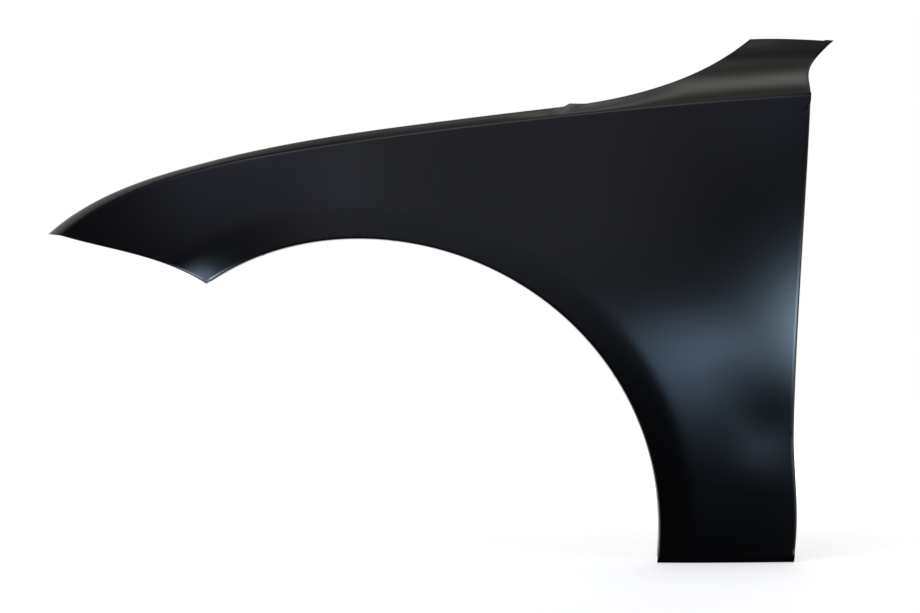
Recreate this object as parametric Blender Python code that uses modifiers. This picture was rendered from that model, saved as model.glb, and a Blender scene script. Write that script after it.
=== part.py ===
# Left front fender of a car: one pressed steel sheet in black primer.
# Metres, +X towards the door, +Y inboard, +Z up; the outer skin faces -Y.
# The outline is drawn around the wheel centre. The panel is then placed so that
# the world origin lies under the middle hood pad, on the face that the body carries.

import math

import bmesh
import bpy
import numpy as np
from mathutils import Vector

# Corners of the outline in side view, measured from the wheel centre
ARCH_RADIUS = 0.3670
FRONT_CORNER_ANGLE = 121.8
NOSE_REACH = 0.3884
NOSE_HEIGHT = 0.3732
TIP_OVERHANG = 0.0210
TIP_RISE = 0.0029
SHOULDER_REACH = 0.5555
SHOULDER_HEIGHT = 0.5459
LOBE_OVERHANG = 0.0430
LOBE_RISE = 0.0769
COWL_EDGE_LENGTH = 0.1086
COWL_EDGE_RISE = 0.0013
SILL_SETBACK = 0.0209
SILL_DROP = 0.0342

# Lines between those corners: handles and joints of cubic curves, each as a
# share along the straight line between the two corners and a share off it
FRONT_EDGE_SHARES = ((0.325, -0.083), (0.665, -0.007))
CREASE_SHARES = ((0.0908, 0.0493), (0.2255, 0.0506), (0.3152, 0.0475), (0.5380, 0.0418), (0.7618, 0.0251))
HOOD_LINE_SHARES = (
    (0.0817, 0.0353), (0.1738, 0.0316), (0.2420, 0.0294), (0.3985, 0.0244),
    (0.5567, -0.0041), (0.7040, -0.0237), (0.8015, -0.0375), (0.8981, -0.0442),
)
COWL_EDGE_SHARES = ((0.332, 0.022), (0.667, 0.016))
LOBE_EDGE_SHARES = ((0.344, 0.170), (0.435, 0.195))
REAR_EDGE_SHARES = ((0.2480, -0.0076), (0.4863, -0.0245), (0.7251, -0.0147), (0.8114, -0.0112), (0.8908, 0.0097))

# The arch is nearly round: its radius as a share of the one above, by powers of
# the angle up from the door side in half turns
ARCH_SHAPE_SHARES = (0.9981, 0.0577, -0.0405, -1.5962, 4.6155, -3.4951)

# Depth of the skin behind its outermost line
NOSE_TUCK = 0.146
TUCK_START = 0.044
TUCK_POWER = 2.17
DOOR_TUCK = 0.018
DOOR_TUCK_START = 0.262
DOOR_TUCK_POWER = 2.75
WAIST_HEIGHT = 0.277
CROWN_SOFTNESS = 0.160
CROWN_SLOPE = 0.197

# Dished band around the wheel arch
BAND_WIDTH = 0.0413
BAND_SOFTNESS = 0.0042
BAND_SLOPE = 0.084

# Two shallow dips in the skin between the arch and the door, the lower one deeper
LOWER_DIP_REACH = 0.495
LOWER_DIP_HEIGHT = 0.133
LOWER_DIP_SIZE = 0.031
LOWER_DIP_DEPTH = 0.0021
UPPER_DIP_REACH = 0.465
UPPER_DIP_HEIGHT = 0.183
UPPER_DIP_SIZE = 0.029
UPPER_DIP_DEPTH = 0.0008

# Shoulder between the crease and the hood line: a narrow crown at the front
# that opens into a hollow and a steep lobe at the rear
SHOULDER_WIDTH_FRONT = 0.028
SHOULDER_WIDTH_REAR = 0.112
HOLLOW_START = 0.150
HOLLOW_END = 0.500
CROWN_SECTION_SHARES = ((0.30, 0.50), (0.68, 0.88))
HOLLOW_SECTION_SHARES = ((0.22, 0.28), (0.85, 0.25))

# Sheet, folds and flanges
SHEET = 0.0008
FOLD_RADIUS = 0.0030
CREASE_RADIUS = 0.0022
ARCH_LIP = 0.0180
ARCH_LIP_LEAN = 0.0006
FRONT_FLANGE = 0.0160
DOOR_FLANGE = 0.0140
DOOR_TAB = 0.0300
SILL_FLANGE = 0.0260
LOBE_FLANGE = 0.0110
NOTCH = 0.0120
HOOD_WALL = 0.0140
HOOD_WALL_LEAN = 0.0020
HOOD_SHELF = 0.0260
COWL_WALL = 0.0050
COWL_WALL_LEAN = 0.0110
LOCATOR_RISE = 0.0012
LOCATOR_LEAN = 0.0020

# Holes for bolts, clips and liner screws
PAD_SLOT_WIDTH = 0.0090
PAD_SLOT_TRAVEL = 0.0050
SILL_HOLE = 0.0090
TAB_HOLE = 0.0085
FRONT_HOLE = 0.0065
LINER_HOLE = 0.0060
DRILL_REACH = 0.0040
HOLE_SIDES = 12

# Where things sit, as columns of the panel's own grid
CREASE_COLUMNS = 34
HOOD_COLUMNS = 30
DOOR_COLUMNS = 15
OUTER_ROWS = 9
SHOULDER_ROWS = 6
BAND_ROW_SHARES = (0.0, 0.35, 0.65, 0.85, 1.0, 1.15, 1.4)
PAD_COLUMNS = (7, 13, 19)
SEAT_PAD = 1
LOCATOR_COLUMN = 22
DOOR_TAB_COLUMNS = (4, 13)
SILL_HOLE_SHARES = (0.27, 0.73)
FRONT_HOLE_SHARES = (0.20, 0.50, 0.80)
LINER_HOLE_SHARES = (0.10, 0.30, 0.50, 0.70, 0.90)
SEAT_SHARE = 0.80
BOW_FADE = 3.0

# Fineness of the curves before they are divided, and the merge distance
CURVE_STEPS = 96
WELD_DISTANCE = 0.00001

for old in list(bpy.data.objects):
    bpy.data.objects.remove(old, do_unlink=True)


def new_collection(name):
    collection = bpy.data.collections.new(name)
    bpy.context.scene.collection.children.link(collection)
    return collection


def primer_material():
    material = bpy.data.materials.new("black_primer")
    material.use_nodes = True
    shader = material.node_tree.nodes["Principled BSDF"]
    shader.inputs["Base Color"].default_value = (0.012, 0.013, 0.016, 1.0)
    shader.inputs["Roughness"].default_value = 0.38
    shader.inputs["Metallic"].default_value = 0.0
    return material


def cubic(points, steps):
    # Points of one cubic curve from its two ends and two handles
    share = np.linspace(0.0, 1.0, steps)[:, None]
    rest = 1.0 - share
    start, handle, other_handle, end = points
    return (
        rest ** 3 * start + 3 * rest ** 2 * share * handle
        + 3 * rest * share ** 2 * other_handle + share ** 3 * end
    )


def side_line(start, end, shares):
    # A chain of cubic curves between two corners of the side view
    start = np.array(start)
    chord = np.array(end) - start
    off = np.array((-chord[1], chord[0]))
    marks = [start] + [start + chord * along + off * away for along, away in shares]
    marks.append(start + chord)
    pieces = [cubic(marks[first:first + 4], CURVE_STEPS) for first in range(0, len(marks) - 1, 3)]
    return np.vstack(pieces)


def lengths_along(line):
    return np.concatenate(([0.0], np.cumsum(np.hypot(*np.diff(line, axis=0).T))))


def column_shares(line, count):
    # Even columns along a line, with a short one at each end where the flanges stop
    notch = NOTCH / lengths_along(line)[-1]
    return np.concatenate(([0.0], np.linspace(notch, 1.0 - notch, count - 1), [1.0]))


def divide(line, shares):
    # Points of a line at given shares of its length
    length = lengths_along(line)
    return np.column_stack([np.interp(shares * length[-1], length, line[:, axis]) for axis in (0, 1)])


def ease(value, start, end):
    share = np.clip((value - start) / (end - start), 0.0, 1.0)
    return share * share * (3.0 - 2.0 * share)


def arch_reach(angle):
    # Distance of the arch edge from the wheel centre
    half_turns = angle / math.pi
    return ARCH_RADIUS * sum(share * half_turns ** power for power, share in enumerate(ARCH_SHAPE_SHARES))


def dip(x, z, reach, height, size, depth):
    # A shallow round dip that fades out on all sides
    return depth * np.exp(-((x - reach) ** 2 + (z - height) ** 2) / (2 * size ** 2))


def skin_depth(x, z):
    # How far the outer skin lies inboard of its outermost line
    nose = NOSE_TUCK * np.clip((TUCK_START - x) / (TUCK_START + NOSE_REACH), 0.0, None) ** TUCK_POWER
    door_run = SHOULDER_REACH - DOOR_TUCK_START
    door = DOOR_TUCK * np.clip((x - DOOR_TUCK_START) / door_run, 0.0, None) ** DOOR_TUCK_POWER
    tilt = (z - WAIST_HEIGHT) / CROWN_SOFTNESS
    crown = CROWN_SLOPE * CROWN_SOFTNESS * (np.logaddexp(tilt, -tilt) - math.log(2.0))
    outside_arch = np.hypot(x, z) - ARCH_RADIUS
    dish = BAND_SLOPE * BAND_SOFTNESS * np.logaddexp(0.0, (BAND_WIDTH - outside_arch) / BAND_SOFTNESS)
    dips = (
        dip(x, z, LOWER_DIP_REACH, LOWER_DIP_HEIGHT, LOWER_DIP_SIZE, LOWER_DIP_DEPTH)
        + dip(x, z, UPPER_DIP_REACH, UPPER_DIP_HEIGHT, UPPER_DIP_SIZE, UPPER_DIP_DEPTH)
    )
    return nose + door + crown + dish + dips


# Corners and lines of the side view

front_corner_angle = math.radians(FRONT_CORNER_ANGLE)
sill_angle = -math.asin(SILL_DROP / ARCH_RADIUS)
shoulder_angle = math.atan2(SHOULDER_HEIGHT, SHOULDER_REACH)

front_corner_reach = arch_reach(front_corner_angle)
front_corner = (front_corner_reach * math.cos(front_corner_angle), front_corner_reach * math.sin(front_corner_angle))
nose = (-NOSE_REACH, NOSE_HEIGHT)
tip = (nose[0] - TIP_OVERHANG, nose[1] + TIP_RISE)
shoulder = (SHOULDER_REACH, SHOULDER_HEIGHT)
lobe = (shoulder[0] + LOBE_OVERHANG, shoulder[1] + LOBE_RISE)
cowl = (lobe[0] - COWL_EDGE_LENGTH, lobe[1] + COWL_EDGE_RISE)
sill = (shoulder[0] - SILL_SETBACK, -SILL_DROP)

crease_curve = side_line(nose, shoulder, CREASE_SHARES)
hood_curve = side_line(tip, cowl, HOOD_LINE_SHARES)
cowl_curve = side_line(cowl, lobe, COWL_EDGE_SHARES)
rear_curve = side_line(shoulder, sill, REAR_EDGE_SHARES)
lobe_edge = side_line(shoulder, lobe, LOBE_EDGE_SHARES)
front_edge = side_line(front_corner, nose, FRONT_EDGE_SHARES)

crease_shares = column_shares(crease_curve, CREASE_COLUMNS)
door_shares = column_shares(rear_curve, DOOR_COLUMNS)
crease_line = divide(crease_curve, crease_shares)
rear_edge = divide(rear_curve, door_shares)
hood_line = divide(hood_curve, crease_shares[:HOOD_COLUMNS + 1] / crease_shares[HOOD_COLUMNS])
cowl_shares = (crease_shares[HOOD_COLUMNS:] - crease_shares[HOOD_COLUMNS]) / (1.0 - crease_shares[HOOD_COLUMNS])
cowl_edge = divide(cowl_curve, cowl_shares)


def skin_grid():
    # Columns fan out from the wheel arch to the crease and to the door edge
    outer = np.vstack((crease_line, rear_edge[1:]))
    angles = np.concatenate((
        front_corner_angle + (shoulder_angle - front_corner_angle) * crease_shares,
        shoulder_angle + (sill_angle - shoulder_angle) * door_shares[1:],
    ))
    arch = arch_reach(angles)[:, None] * np.column_stack((np.cos(angles), np.sin(angles)))
    even = np.linspace(0.0, 1.0, CURVE_STEPS)
    straight = front_edge[0] + even[:, None] * (front_edge[-1] - front_edge[0])
    bowed = divide(front_edge, even) - straight
    columns = []
    for number, (near, far) in enumerate(zip(arch, outer)):
        span = np.hypot(*far) - np.hypot(*near)
        shares = np.array(BAND_ROW_SHARES) * BAND_WIDTH / span
        shares = np.concatenate((shares, np.linspace(shares[-1], 1.0, OUTER_ROWS + 1)[1:]))
        column = near + shares[:, None] * (far - near)
        bow = np.column_stack([np.interp(shares, even, bowed[:, axis]) for axis in (0, 1)])
        column = column + bow * max(0.0, 1.0 - number / CREASE_COLUMNS) ** BOW_FADE
        depth = skin_depth(column[:, 0], column[:, 1])
        columns.append(np.column_stack((column[:, 0], depth, column[:, 1])))
    return np.array(columns)


def shoulder_grid(crease):
    # Columns run from the crease to the hood line, the cowl corner and the lobe
    top = np.vstack((hood_line, cowl_edge[1:]))
    crown_handles = np.array(CROWN_SECTION_SHARES)
    hollow_handles = np.array(HOLLOW_SECTION_SHARES)
    columns = []
    for number, (low, high) in enumerate(zip(crease, top)):
        hollow = ease(high[0], HOLLOW_START, HOLLOW_END)
        width = SHOULDER_WIDTH_FRONT + (SHOULDER_WIDTH_REAR - SHOULDER_WIDTH_FRONT) * hollow
        handles = crown_handles + (hollow_handles - crown_handles) * hollow
        section = cubic((np.zeros(2), handles[0], handles[1], np.ones(2)), SHOULDER_ROWS + 1)
        far_depth = skin_depth(high[0], low[2]) + width
        rise = section[:, 1]
        x = low[0] + (high[0] - low[0]) * rise
        y = low[1] + (far_depth - low[1]) * section[:, 0]
        z = low[2] + (high[1] - low[2]) * rise
        past_cowl = max(0.0, (number - HOOD_COLUMNS) / (CREASE_COLUMNS - HOOD_COLUMNS))
        edge_rise = (lobe_edge[:, 1] - shoulder[1]) / (lobe[1] - shoulder[1])
        edge_x = np.interp(rise, edge_rise, lobe_edge[:, 0])
        bow = edge_x - (shoulder[0] + (lobe[0] - shoulder[0]) * rise)
        columns.append(np.column_stack((x + bow * past_cowl ** 2, y, z)))
    return np.array(columns)


def hood_flange(top):
    # Wall down from the hood line, then a shelf inboard with level pads
    blend = ease(top[:, 0], HOLLOW_START, cowl[0])
    drop = HOOD_WALL + (COWL_WALL - HOOD_WALL) * blend
    lean = HOOD_WALL_LEAN + (COWL_WALL_LEAN - HOOD_WALL_LEAN) * blend
    foot = top + np.column_stack((np.zeros(len(top)), lean, -drop))
    for first in PAD_COLUMNS:
        foot[first:first + 3, 2] = foot[first + 1, 2]
    shelf = foot + np.array((0.0, HOOD_SHELF, 0.0))
    return foot, shelf


def make_vertices(mesh, points):
    return [mesh.verts.new(point) for point in points]


def fill_between(mesh, near, far):
    for place in range(len(near) - 1):
        mesh.faces.new((near[place], near[place + 1], far[place + 1], far[place]))


def fold_along(mesh, layer, vertices, radius):
    for start, end in zip(vertices, vertices[1:]):
        edge = mesh.edges.get((start, end))
        edge[layer] = radius / FOLD_RADIUS


skin = skin_grid()
shoulder_band = shoulder_grid(skin[:CREASE_COLUMNS + 1, -1])
top_line = shoulder_band[:, -1]
foot_line, shelf_line = hood_flange(top_line)
seat_column = PAD_COLUMNS[SEAT_PAD]


def pad_point(first, share):
    # A point on a level pad, a share of its length from its front end
    front = (foot_line[first] + shelf_line[first]) / 2
    rear = (foot_line[first + 2] + shelf_line[first + 2]) / 2
    return front + (rear - front) * share


def build_sheet():
    mesh = bmesh.new()
    folds = mesh.edges.layers.float.new("bevel_weight_edge")
    columns = [make_vertices(mesh, column) for column in skin]
    for near, far in zip(columns, columns[1:]):
        fill_between(mesh, near, far)

    crease = [column[-1] for column in columns[:CREASE_COLUMNS + 1]]
    rows = [crease]
    for row in range(1, SHOULDER_ROWS + 1):
        rows.append(make_vertices(mesh, shoulder_band[:, row]))
        fill_between(mesh, rows[-2], rows[-1])
    fold_along(mesh, folds, crease, CREASE_RADIUS)

    # Wheel arch lip, from the second column to the last but one
    lip_edge = [column[0] for column in columns[1:-1]]
    lip_points = []
    for vertex in lip_edge:
        reach = math.hypot(vertex.co.x, vertex.co.z)
        lean = ARCH_LIP_LEAN / reach
        lip_points.append((vertex.co.x * (1 - lean), vertex.co.y + ARCH_LIP, vertex.co.z * (1 - lean)))
    fill_between(mesh, lip_edge, make_vertices(mesh, lip_points))
    fold_along(mesh, folds, lip_edge, FOLD_RADIUS)

    # Flanges that stand straight inboard from the bumper, sill and lobe edges
    straight_flanges = (
        (columns[0][1:-1], FRONT_FLANGE),
        (columns[-1][1:-1], SILL_FLANGE),
        ([row[-1] for row in rows[1:-1]], LOBE_FLANGE),
    )
    for edge, width in straight_flanges:
        inner = [(vertex.co.x, vertex.co.y + width, vertex.co.z) for vertex in edge]
        fill_between(mesh, edge, make_vertices(mesh, inner))
        fold_along(mesh, folds, edge, FOLD_RADIUS)

    # Door flange with two wider tabs
    door_edge = [column[-1] for column in columns[CREASE_COLUMNS + 1:-1]]
    inner = make_vertices(mesh, [(v.co.x, v.co.y + DOOR_FLANGE, v.co.z) for v in door_edge])
    fill_between(mesh, door_edge, inner)
    fold_along(mesh, folds, door_edge, FOLD_RADIUS)
    for first in DOOR_TAB_COLUMNS:
        root = inner[first - 1:first + 1]
        reach = DOOR_TAB - DOOR_FLANGE
        fill_between(mesh, root, make_vertices(mesh, [(v.co.x, v.co.y + reach, v.co.z) for v in root]))

    # Hood wall, shelf and the small locator that stands up behind the hood line
    hood_edge = rows[-1][2:-1]
    foot = make_vertices(mesh, foot_line[2:-1])
    fill_between(mesh, hood_edge, foot)
    fold_along(mesh, folds, hood_edge, FOLD_RADIUS)
    shelf_root = foot[:HOOD_COLUMNS - 2]
    shelf = make_vertices(mesh, shelf_line[2:HOOD_COLUMNS])
    fill_between(mesh, shelf_root, shelf)
    fold_along(mesh, folds, shelf_root, FOLD_RADIUS)
    root = shelf[LOCATOR_COLUMN - 2:LOCATOR_COLUMN]
    locator_top = top_line[LOCATOR_COLUMN + 1, 2] + LOCATOR_RISE
    fill_between(mesh, root, make_vertices(
        mesh, [(v.co.x, v.co.y + LOCATOR_LEAN, locator_top) for v in root]))
    fold_along(mesh, folds, root, FOLD_RADIUS)

    bmesh.ops.remove_doubles(mesh, verts=mesh.verts[:], dist=WELD_DISTANCE)
    bmesh.ops.recalc_face_normals(mesh, faces=mesh.faces[:])
    mesh.normal_update()
    if sum(face.normal.y * face.calc_area() for face in mesh.faces) > 0.0:
        bmesh.ops.reverse_faces(mesh, faces=mesh.faces[:])
    data = bpy.data.meshes.new("fender_panel")
    mesh.to_mesh(data)
    mesh.free()
    return data


def drill(mesh, centre, direction, diameter, travel=0.0):
    # A round cutter through one sheet, stretched along X where the hole is a slot
    made = bmesh.ops.create_cone(
        mesh, cap_ends=True, segments=HOLE_SIDES,
        radius1=diameter / 2, radius2=diameter / 2, depth=DRILL_REACH * 2)
    turn = Vector(direction).to_track_quat("Z", "Y").to_matrix()
    for vertex in made["verts"]:
        if travel and vertex.co.x > WELD_DISTANCE:
            vertex.co.x += travel
        elif travel and vertex.co.x < -WELD_DISTANCE:
            vertex.co.x -= travel
        vertex.co = turn @ vertex.co + Vector(centre)


def drill_flange(mesh, edge, share, distance, diameter):
    # A hole square through a flange that stands inboard, a share along its edge
    length = np.concatenate(([0.0], np.cumsum(np.linalg.norm(np.diff(edge, axis=0), axis=1))))
    place = share * length[-1]
    centre = np.array([np.interp(place, length, edge[:, axis]) for axis in range(3)])
    first = np.searchsorted(length, place) - 1
    along = edge[first + 1] - edge[first]
    drill(mesh, centre + np.array((0.0, distance, 0.0)), np.cross(along, (0.0, 1.0, 0.0)), diameter)


def build_cutters():
    mesh = bmesh.new()
    for first in PAD_COLUMNS:
        drill(mesh, pad_point(first, 0.5), (0, 0, 1), PAD_SLOT_WIDTH, PAD_SLOT_TRAVEL)
    for share in SILL_HOLE_SHARES:
        drill_flange(mesh, skin[-1], share, SILL_FLANGE / 2, SILL_HOLE)
    for share in FRONT_HOLE_SHARES:
        drill_flange(mesh, skin[0], share, FRONT_FLANGE / 2, FRONT_HOLE)
    for first in DOOR_TAB_COLUMNS:
        tab_edge = skin[CREASE_COLUMNS + first:CREASE_COLUMNS + first + 2, -1]
        drill_flange(mesh, tab_edge, 0.5, (DOOR_TAB + FOLD_RADIUS) / 2, TAB_HOLE)
    for share in LINER_HOLE_SHARES:
        drill_flange(mesh, skin[:, 0], share, (ARCH_LIP + FOLD_RADIUS) / 2, LINER_HOLE)
    bmesh.ops.recalc_face_normals(mesh, faces=mesh.faces[:])
    data = bpy.data.meshes.new("holes")
    mesh.to_mesh(data)
    mesh.free()
    return data


parts = new_collection("car_fender")
cutters = new_collection("cutters")

panel = bpy.data.objects.new("fender_panel", build_sheet())
parts.objects.link(panel)
panel.data.materials.append(primer_material())
seat = pad_point(seat_column, SEAT_SHARE) - np.array((0.0, 0.0, SHEET))
panel.location = [-value for value in seat]

holes = bpy.data.objects.new("holes", build_cutters())
cutters.objects.link(holes)
holes.location = panel.location
holes.hide_render = True
holes.display_type = "WIRE"

bend = panel.modifiers.new("folds", "BEVEL")
bend.limit_method = "WEIGHT"
bend.width = FOLD_RADIUS
bend.segments = 3

sheet = panel.modifiers.new("sheet", "SOLIDIFY")
sheet.thickness = SHEET
sheet.offset = -1.0
sheet.use_even_offset = True

cut = panel.modifiers.new("holes", "BOOLEAN")
cut.operation = "DIFFERENCE"
cut.solver = "EXACT"
cut.object = holes

panel.data.shade_smooth()
panel.data.set_sharp_from_angle(angle=math.radians(35.0))
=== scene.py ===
# Left front fender of a car, one pressed sheet in satin black primer, on a pale studio floor.
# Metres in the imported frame: +X towards the door, +Y inboard, +Z up.

import math

import bmesh
import bpy
import numpy as np
from mathutils import Matrix, Vector


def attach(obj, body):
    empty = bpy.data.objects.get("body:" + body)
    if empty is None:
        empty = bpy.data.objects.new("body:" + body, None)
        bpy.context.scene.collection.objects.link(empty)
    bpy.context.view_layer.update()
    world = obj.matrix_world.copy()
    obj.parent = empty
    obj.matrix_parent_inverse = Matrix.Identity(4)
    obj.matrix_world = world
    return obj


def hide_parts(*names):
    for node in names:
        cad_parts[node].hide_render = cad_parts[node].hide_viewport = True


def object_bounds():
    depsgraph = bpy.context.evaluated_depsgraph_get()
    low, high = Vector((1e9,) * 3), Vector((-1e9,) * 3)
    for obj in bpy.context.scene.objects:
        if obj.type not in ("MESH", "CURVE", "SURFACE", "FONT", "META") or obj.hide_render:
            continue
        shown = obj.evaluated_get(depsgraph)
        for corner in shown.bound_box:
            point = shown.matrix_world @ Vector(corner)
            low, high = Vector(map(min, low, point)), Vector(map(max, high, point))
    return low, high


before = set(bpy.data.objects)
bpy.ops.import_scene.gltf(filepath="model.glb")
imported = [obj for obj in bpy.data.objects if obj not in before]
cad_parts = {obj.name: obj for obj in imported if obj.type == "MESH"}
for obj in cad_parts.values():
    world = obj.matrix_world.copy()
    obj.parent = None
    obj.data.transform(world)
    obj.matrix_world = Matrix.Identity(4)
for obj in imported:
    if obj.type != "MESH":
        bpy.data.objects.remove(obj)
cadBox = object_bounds()
scene = bpy.context.scene
print("frame loaded,", len(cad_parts), "node")

# The camera stands level and square to the side, where the photo was taken from

shot = {
    "place": (0.10288, -3.56561, -0.20168),
    "reach": 3.5,            # to the plane through the wheel centre
    "pixel": 0.00122,        # what one pixel covers in that plane
    "pixelsWide": 920,
    "sensor": 36.0,          # millimetres
}


def makeCamera():
    lens = bpy.data.cameras.new("camera")
    lens.sensor_width = shot["sensor"]
    lens.lens = shot["sensor"] * shot["reach"] / (shot["pixelsWide"] * shot["pixel"])
    camera = bpy.data.objects.new("camera", lens)
    camera.location = shot["place"]
    camera.rotation_euler = (math.radians(90.0), 0.0, 0.0)
    scene.collection.objects.link(camera)
    scene.camera = camera


makeCamera()
print("camera placed")

# The panel. Its side view is drawn around the wheel centre: x towards the door, z up.

panel = {
    "wheelCentre": (-0.01776, -0.06561, -0.48435),
    "archRadius": 0.3670,
    "frontCornerAngle": 121.8,
    "nose": (-0.3884, 0.3732),
    "tip": (-0.4094, 0.3761),
    "shoulder": (0.5555, 0.5459),
    "lobe": (0.5985, 0.6228),
    "cowl": (0.4899, 0.6241),
    "sill": (0.5346, -0.0342),
    # the arch radius as a share of the one above, by powers of the angle in half turns
    "archShape": (0.9981, 0.0577, -0.0405, -1.5962, 4.6155, -3.4951),
    # handles and joints of each line, as shares along and off its chord
    "frontEdgeShares": ((0.325, -0.083), (0.665, -0.007)),
    "creaseShares": (
        (0.0908, 0.0493), (0.2255, 0.0506), (0.3152, 0.0475), (0.5380, 0.0418), (0.7618, 0.0251),
    ),
    "hoodLineShares": (
        (0.0817, 0.0353), (0.1738, 0.0316), (0.2420, 0.0294), (0.3985, 0.0244),
        (0.5567, -0.0041), (0.7040, -0.0237), (0.8015, -0.0375), (0.8981, -0.0442),
    ),
    "cowlEdgeShares": ((0.332, 0.022), (0.667, 0.016)),
    "lobeEdgeShares": ((0.344, 0.170), (0.435, 0.195)),
    "rearEdgeShares": (
        (0.2480, -0.0076), (0.4863, -0.0245), (0.7251, -0.0147), (0.8114, -0.0112), (0.8908, 0.0097),
    ),
    # the shoulder above the crease: its width, where its hollow opens, and its sections
    "shoulderFront": 0.028,
    "shoulderRear": 0.112,
    "hollowStart": 0.150,
    "hollowEnd": 0.500,
    "crownShares": ((0.30, 0.50), (0.68, 0.88)),
    "hollowShares": ((0.25, 0.30), (0.80, 0.42)),
    "lobeRise": 0.0830,      # the lobe's full section, which the hood line trims
    "trimStart": 0.240,
    "trimEnd": 0.440,
    # sheet, folds and flanges
    "sheet": 0.0008,
    "foldRadius": 0.0030,
    "creaseRadius": 0.0022,
    "edgeRadius": 0.0016,
    "doorRadius": 0.0044,    # the largest, of which each fold weight is a share
    "lobeFoldRadius": 0.0018,
    "foldSteps": 4,
    "sharpAngle": 35.0,      # degrees, from which an edge is shaded sharp
    "archLip": 0.0180,
    "archLipLean": 0.0006,
    "frontFlange": 0.0160,
    "doorFlange": 0.0140,
    "doorTab": 0.0300,
    "doorTabHalf": 0.0200,
    "doorTabSlope": 0.0060,
    "sillFlange": 0.0260,
    "lobeFlange": 0.0110,
    "notch": 0.0120,         # left open at each corner between two flanges
    "flangeStart": 0.0060,
    "flangeTaper": 0.0090,
    "foldRow": 0.0046,       # the first grid line beside a fold
    "foldRowShare": 0.40,    # and the most of a narrow wall that it may take
    "foldRadiusShare": 0.28,    # the most that a fold takes of it
    "hoodWall": 0.0140,
    "hoodWallLean": 0.0020,
    "hoodShelf": 0.0260,
    "cowlWall": 0.0050,
    "cowlWallLean": 0.0110,
    "locatorRise": -0.0012,
    "locatorDrop": 0.0008,
    "locatorLean": 0.0020,
    "locatorTaper": 0.25,
    # the grid: coarse columns that the fixings are counted in, and how far each is divided
    "creaseColumns": 34,
    "hoodColumns": 30,
    "doorColumns": 15,
    "creaseDivide": 6,
    "doorDivide": 8,
    "bandRows": (0.0038, 0.0080, 0.0125, 0.0170, 0.0215, 0.0260, 0.0300, 0.0335, 0.0365, 0.0390,
                 0.0413, 0.0435, 0.0457, 0.0480, 0.0505, 0.0535, 0.0570, 0.0615),
    "outerRows": 30,
    "shoulderRows": 16,
    "padColumns": (7, 13, 19),
    "locatorColumn": 22,
    "stepMiddle": 0.6,       # of the hood line's step, in columns past the locator's first
    "stepHalf": 0.45,
    "doorTabColumns": (4.5, 13.5),
    "endLine": 0.62,         # the one line inside a short end column
    "curveSteps": 96,        # points on each cubic curve
    "smallStep": 0.001,      # for finding a column by its number
}

# What the press does to the flat pattern: the inputs of the node tree

press = {
    "Nose Tuck": 0.146,
    "Tuck Start": 0.044,
    "Nose Reach": 0.3884,
    "Tuck Power": 2.17,
    "Door Tuck": 0.018,
    "Door Tuck Start": 0.262,
    "Door Reach": 0.5555,
    "Door Tuck Power": 2.75,
    "Waist Height": 0.277,
    "Crown Softness": 0.160,
    "Crown Slope": 0.197,
    "Arch Radius": 0.3670,
    "Band Width": 0.0413,
    "Band Softness": 0.0042,
    "Band Slope": 0.084,
    "Lower Dip Reach": 0.495,
    "Lower Dip Height": 0.133,
    "Lower Dip Size": 0.031,
    "Lower Dip Depth": 0.0021,
    "Upper Dip Reach": 0.465,
    "Upper Dip Height": 0.183,
    "Upper Dip Size": 0.029,
    "Upper Dip Depth": 0.0008,
    "Corner Dip Reach": -0.204,
    "Corner Dip Height": 0.300,
    "Corner Dip Size": 0.020,
    "Corner Dip Depth": 0.0014,
}


def cubic(points, steps):
    # One cubic curve from its two ends and two handles
    share = np.linspace(0.0, 1.0, steps)[:, None]
    rest = 1.0 - share
    start, handle, otherHandle, end = points
    return (rest ** 3 * start + 3 * rest ** 2 * share * handle
            + 3 * rest * share ** 2 * otherHandle + share ** 3 * end)


def sideLine(start, end, shares):
    # A chain of cubic curves between two corners of the side view
    start = np.array(start)
    chord = np.array(end) - start
    off = np.array((-chord[1], chord[0]))
    marks = [start] + [start + chord * along + off * away for along, away in shares] + [start + chord]
    return np.vstack([
        cubic(marks[first:first + 4], panel["curveSteps"]) for first in range(0, len(marks) - 1, 3)])


def lengthsAlong(line):
    return np.concatenate(([0.0], np.cumsum(np.linalg.norm(np.diff(line, axis=0), axis=1))))


def divide(line, shares):
    length = lengthsAlong(line)
    return np.column_stack([
        np.interp(shares * length[-1], length, line[:, axis]) for axis in range(line.shape[1])])


def ease(value, start, end):
    share = np.clip((value - start) / (end - start), 0.0, 1.0)
    return share * share * (3.0 - 2.0 * share)


def columnPlaces(count, divisions):
    # Coarse column numbers, each divided, with only one line inside the short end columns
    inner = np.linspace(1.0, count - 1.0, (count - 2) * divisions + 1)
    return np.concatenate(([0.0, panel["endLine"]], inner, [count - panel["endLine"], count]))


def columnShares(line, count, places):
    notch = panel["notch"] / lengthsAlong(line)[-1]
    coarse = np.concatenate(([0.0], np.linspace(notch, 1.0 - notch, count - 1), [1.0]))
    return np.interp(places, np.arange(count + 1), coarse)


def archReach(angle):
    halfTurns = angle / math.pi
    return panel["archRadius"] * sum(
        share * halfTurns ** power for power, share in enumerate(panel["archShape"]))


frontAngle = math.radians(panel["frontCornerAngle"])
shoulderAngle = math.atan2(panel["shoulder"][1], panel["shoulder"][0])
sillAngle = math.asin(panel["sill"][1] / panel["archRadius"])
frontCorner = archReach(frontAngle) * np.array((math.cos(frontAngle), math.sin(frontAngle)))

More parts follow.
